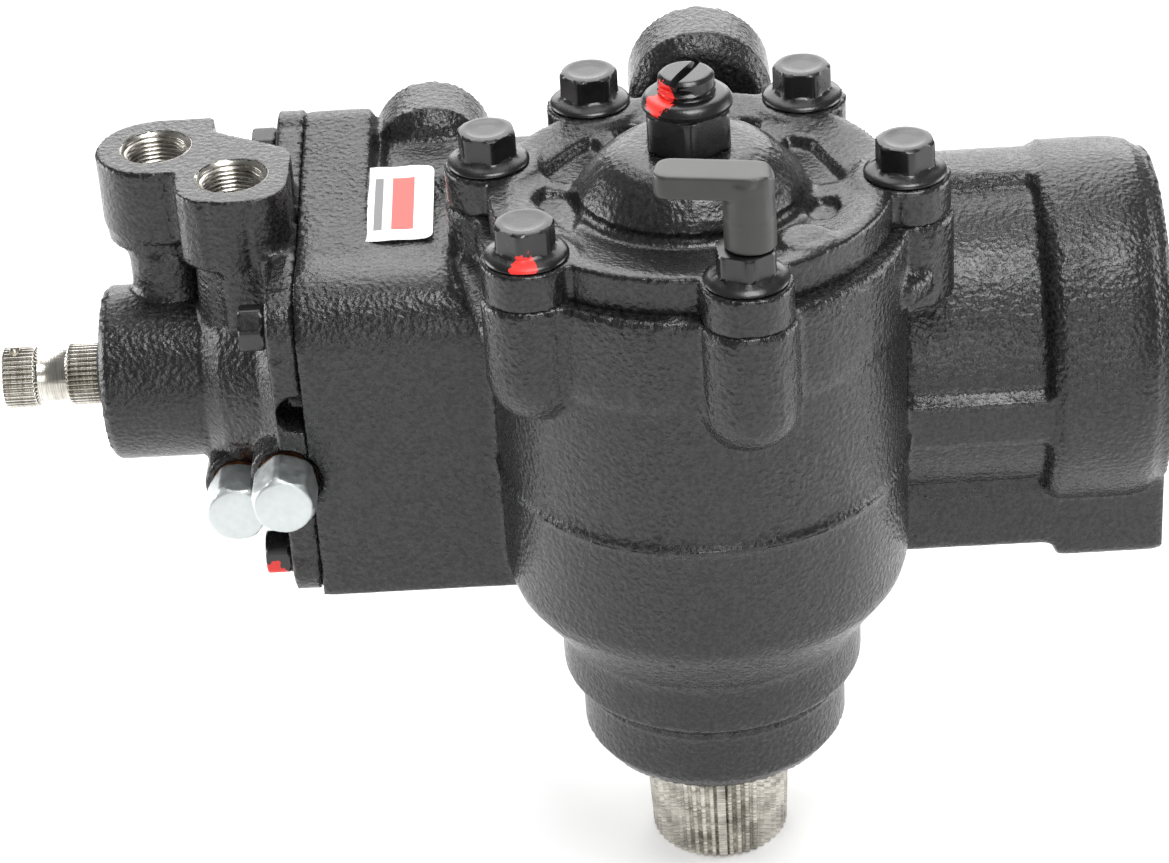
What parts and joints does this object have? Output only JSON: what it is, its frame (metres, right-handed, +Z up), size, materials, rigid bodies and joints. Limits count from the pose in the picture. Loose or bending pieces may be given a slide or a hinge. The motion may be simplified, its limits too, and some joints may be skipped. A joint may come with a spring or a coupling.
{
  "type": "steering gearbox",
  "caption": "Cast steering gearbox with a hydraulic control valve: a serrated input shaft drives a ball-nut rack that swings the sector shaft carrying the pitman arm.",
  "frame": {"origin": "on the sector shaft's axis, in the plane of the frame-rail pads, level with the input shaft's axis", "axes": "+Z up along the sector shaft towards its cover, +X along the rack away from the input shaft, +Y towards the frame rail"},
  "size_m": [0.385, 0.1981, 0.2875],
  "materials": {
    "black_paint": "satin gloss over rough sand casting",
    "black_steel": "satin gloss",
    "bright_steel": "machined",
    "ground_steel": "ground",
    "zinc_plate": "zinc plated",
    "copper": "plain",
    "bronze": "machined",
    "rubber": "matte"
  },
  "bodies": {
    "housing": {"main_housing": "black_paint", "sector_cover": "black_paint", "valve_housing": "black_paint", "cover_bolt_1": "black_steel", "cover_bolt_2": "black_steel", "cover_bolt_3": "black_steel", "cover_bolt_4": "black_steel", "cover_bolt_5": "black_steel", "vent_stud": "black_steel", "adjuster_lock_nut": "black_steel", "valve_bolt_1": "black_steel", "valve_bolt_2": "black_steel", "valve_bolt_3": "black_steel", "valve_bolt_4": "black_steel", "adjuster_screw": "bright_steel", "lower_sector_bearing": "bright_steel", "seal_backup_washer": "bright_steel", "sector_snap_ring": "bright_steel", "bearing_retainer": "bright_steel", "input_needle_bearing": "bright_steel", "end_plug": "bright_steel", "end_retaining_ring": "bright_steel", "worm_bearing_outer": "ground_steel", "worm_bearing_inner": "ground_steel", "front_hex_plug": "zinc_plate", "rear_hex_plug": "zinc_plate", "front_plug_washer": "copper", "rear_plug_washer": "copper", "upper_sector_bushing": "bronze", "vent_elbow": "rubber", "sector_oil_seal": "rubber", "sector_dust_seal": "rubber", "cover_seal": "rubber", "valve_housing_seal": "rubber", "end_plug_seal": "rubber", "input_shaft_seal": "rubber", "input_dust_seal": "rubber"},
    "sector": {"sector_shaft": "bright_steel", "adjuster_retainer": "bright_steel"},
    "rack": {"rack_piston": "bright_steel", "piston_ring": "ground_steel", "steel_ball_1": "ground_steel", "steel_ball_2": "ground_steel", "steel_ball_3": "ground_steel", "steel_ball_4": "ground_steel", "steel_ball_5": "ground_steel", "steel_ball_6": "ground_steel", "ball_return_tube": "ground_steel", "return_clamp": "ground_steel", "clamp_screw_1": "ground_steel", "clamp_screw_2": "ground_steel"},
    "worm": {"worm_shaft": "bright_steel", "valve_sleeve": "ground_steel"},
    "input_stub": {"input_shaft": "bright_steel", "torsion_bar": "ground_steel", "torsion_bar_pin": "ground_steel"}
  },
  "joints": [
    {"name": "sector_swing", "type": "hinge", "parent": "housing", "child": "sector", "pos_m": [0, -0.12, 0], "axis": [0, 0, 1], "range_deg": [-40, 40]},
    {"name": "rack_slide", "type": "slide", "parent": "housing", "child": "rack", "axis": [1, 0, 0], "range_m": [-0.0225, 0.0225]},
    {"name": "worm_turn", "type": "hinge", "parent": "housing", "child": "worm", "pos_m": [-0.06, -0.066, 0], "axis": [1, 0, 0], "range_deg": [-642, 642]},
    {"name": "valve_twist", "type": "hinge", "parent": "worm", "child": "input_stub", "pos_m": [-0.15, -0.066, 0], "axis": [1, 0, 0], "range_deg": [-4, 4], "stiffness_Nm_per_rad": 90}
  ],
  "couplings": [
    {"joint": "rack_slide", "follows": "sector_swing", "m_per_rad": -0.032},
    {"joint": "worm_turn", "follows": "sector_swing", "ratio": 16}
  ]
}
